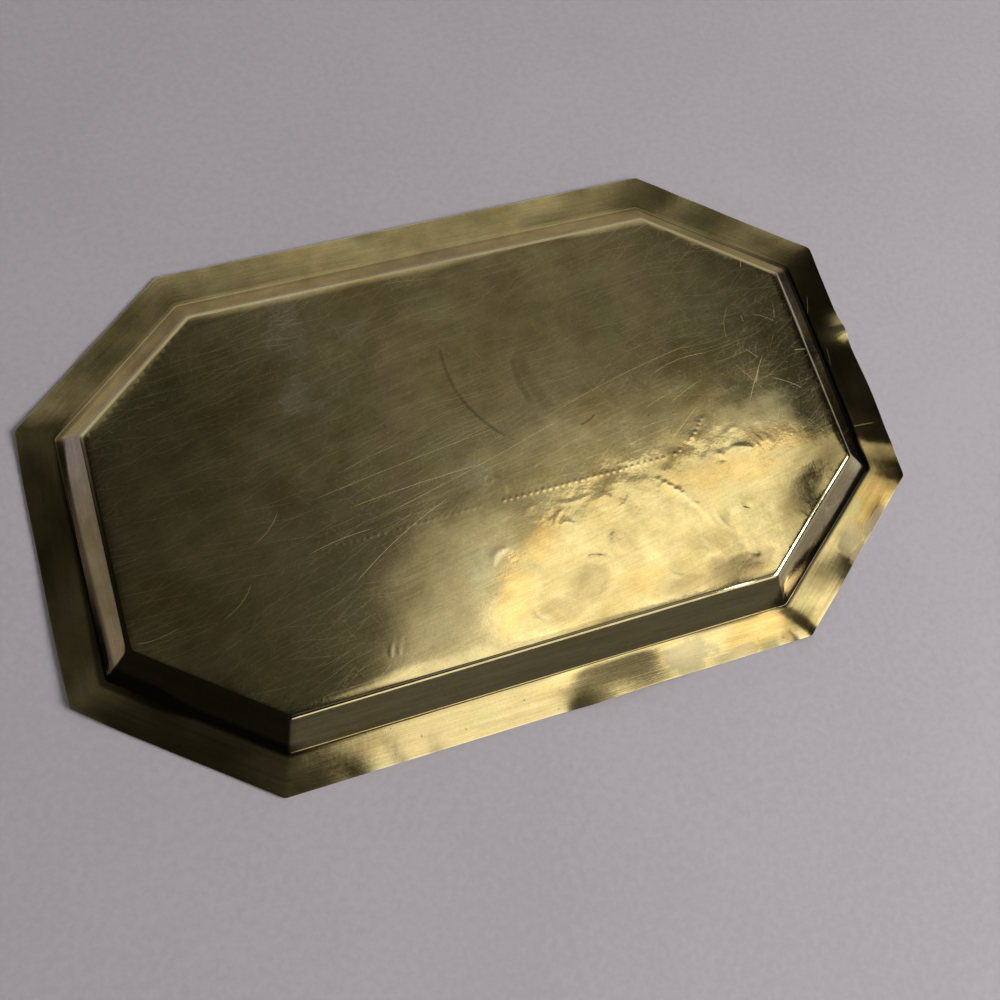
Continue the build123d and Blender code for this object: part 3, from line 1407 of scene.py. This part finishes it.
@dataclass(frozen=True)
class Room:
    """Soft surroundings: a dim ceiling with ovals of light, a pale far wall and horizon."""

    dim: Colour = (0.009, 0.0088, 0.008)
    pale: Colour = (1.5, 1.478, 1.425)
    brightest: float = 1.5
    low: float = 0.05
    glows: tuple[Glow, ...] = rows(
        Glow,
        (0.1, 0.27, 0.52, 0.45, 0.085), (0.27, 0.4, 0.47, 0.42, 0.21),
        (0.27, 0.11, 0.28, 0.23, 0.9, 0.4), (0.32, 0.265, 0.3, 0.13, 0.55),
        (0.45, 0.247, 0.14, 0.075, 0.6, 0.45), (0.15, 0.02, 0.155, 0.13, 1.5, 0.65),
        (0.13, 0.14, 0.17, 0.21, 0.28), (-0.17, 0.53, 0.14, 0.12, 0.24, 0.2),
        (0.96, -0.1, 0.17, 0.2, 1.3, 0.5), (0.4, -0.45, 0.6, 0.42, 0.28, 0.3),
    )
    wall: float = 0.60
    wall_rise: Place = (0.42, 0.78)
    wall_spread: Place = (0.30, 0.80)
    horizon: float = 0.14
    horizon_heights: Place = (0.45, 0.10)
    shade_heading: Place = (-0.95, -0.30)
    shade_spread: Place = (0.75, 0.25)

    def build(self) -> bpy.types.World:
        """Make the world."""
        world = bpy.data.worlds.new("room")
        bpy.context.scene.world = world
        world.use_nodes = True
        maker = NodeMaker(world.node_tree)
        way = maker.place("Generated")
        height = maker.part(way, "Z")
        above = maker.math("MAXIMUM", height, self.low)
        ahead, aside = maker.part(way, "Y") / above, maker.part(way, "X") / above
        flat = maker.vector_math("NORMALIZE", maker.vector_math("MULTIPLY", way, (1, 1, 0)))
        lights = []
        for glow in self.glows:
            across = (aside - glow.centre[0]) / glow.size[0]
            along = (ahead - glow.centre[1]) / glow.size[1]
            away = maker.length(across, along)
            lights.append(maker.step(away, 1, glow.core) * glow.strength)
        far_side = maker.step(maker.part(flat, "Y"), *self.wall_spread)
        lights.append(maker.step(ahead, *self.wall_rise) * far_side * self.wall)
        shaded = maker.vector_math("DOT_PRODUCT", flat, (*self.shade_heading, 0))
        open_side = maker.step(shaded, *self.shade_spread)
        lights.append(maker.step(height, *self.horizon_heights) * open_side * self.horizon)
        colour = maker.mix(maker.union(*lights) / self.brightest, self.dim, self.pale)
        maker.feed(world.node_tree.nodes["Background"], {"Color": colour})
        return world


def add_aimed(data: bpy.types.ID, place: Point, target: Point, turn: float) -> Piece:
    """Add a lamp or camera that looks at a target.

    Args:
        data: The lamp or camera, whose name the object takes.
        place: Where it stands.
        target: Point that it looks at.
        turn: Angle that it is turned about its line of sight.

    Returns:
        The new object.
    """
    look = (Vector(target) - Vector(place)).to_track_quat("-Z", "Y").to_matrix().to_4x4()
    viewer = bpy.data.objects.new(data.name, data)
    viewer.matrix_world = Matrix.Translation(place) @ look @ Matrix.Rotation(turn, 4, "Z")
    bpy.context.collection.objects.link(viewer)
    return viewer


@dataclass(frozen=True)
class Lamp:
    """A soft oval lamp, given by where it is and where it points."""

    name: str
    place: Point
    target: Point
    size: Place
    radiance: float
    colour: Colour
    turn: float = 0.0

    def build(self) -> Piece:
        """Add the lamp to the scene."""
        data = bpy.data.lights.new(self.name, "AREA")
        data.shape = "ELLIPSE"
        data.size, data.size_y = self.size
        data.energy = self.radiance * math.pi * math.pi * self.size[0] * self.size[1] / 4
        data.color = self.colour
        return add_aimed(data, self.place, self.target, math.radians(self.turn))


@dataclass(frozen=True)
class PhotoCamera:
    """Camera that stands where the photograph was taken from."""

    lens: float = 38.98
    sensor: float = 36.0
    place: Point = (-66.9 * MM, -102.7 * MM, 335.5 * MM)
    aim: Point = (2.16 * MM, -16.66 * MM, 0.8 * MM)
    roll: float = math.radians(22.5)

    def build(self) -> Piece:
        """Add the camera and make it the scene's own."""
        data = bpy.data.cameras.new("photo_camera")
        data.lens = self.lens
        data.sensor_width = self.sensor
        camera = add_aimed(data, self.place, self.aim, self.roll)
        bpy.context.scene.camera = camera
        return camera


@dataclass(frozen=True)
class Studio:
    """Pale floor, soft lamps and dim room round the tray."""

    floor_size: float = 6.0
    floor_drop: float = 0.1 * MM
    lamps: tuple[Lamp, ...] = (
        Lamp(
            "ceiling_lamp",
            (0.443, 0.102, 1.0),
            (0.443, 0.102, 0.0),
            (0.58, 0.26),
            1.06,
            (1.0, 0.97, 0.83),
            turn=3.7,
        ),
        Lamp("side_lamp", (1.25, -0.85, 1.15), (0, 0, 0), (1.1, 1.0), 13.0, (1.0, 0.985, 1.0)),
        Lamp("near_lamp", (0.35, -1.1, 0.62), (0, 0, 0), (1.3, 0.6), 1.35, (1.0, 0.96, 0.86)),
    )

    def build(self) -> None:
        """Set up the floor, the lamps, the room and the camera."""
        deselect_all()
        bpy.ops.mesh.primitive_plane_add(size=self.floor_size, location=(0, 0, -self.floor_drop))
        floor = bpy.context.object
        floor.name = "floor"
        bpy.ops.object.transform_apply(location=True, rotation=True, scale=True)
        floor.data.materials.append(Paper().build())
        for lamp in self.lamps:
            lamp.build()
        Room().build()
        PhotoCamera().build()
        bpy.context.scene.view_settings.view_transform = "Standard"


def main() -> None:
    """Build the tray and its studio, and report each piece."""
    logging.basicConfig(level=logging.INFO, format="%(message)s")
    pan = TrayPan().build()
    pan.data.materials.append(AgedBrass().build())
    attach(pan, "root")
    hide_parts("tray_pan")
    triangles = sum(len(face.vertices) - 2 for face in pan.data.polygons)
    LOG.info("%s: %d faces, %d triangles", pan.name, len(pan.data.polygons), triangles)
    Studio().build()


if __name__ == "__main__":
    main()
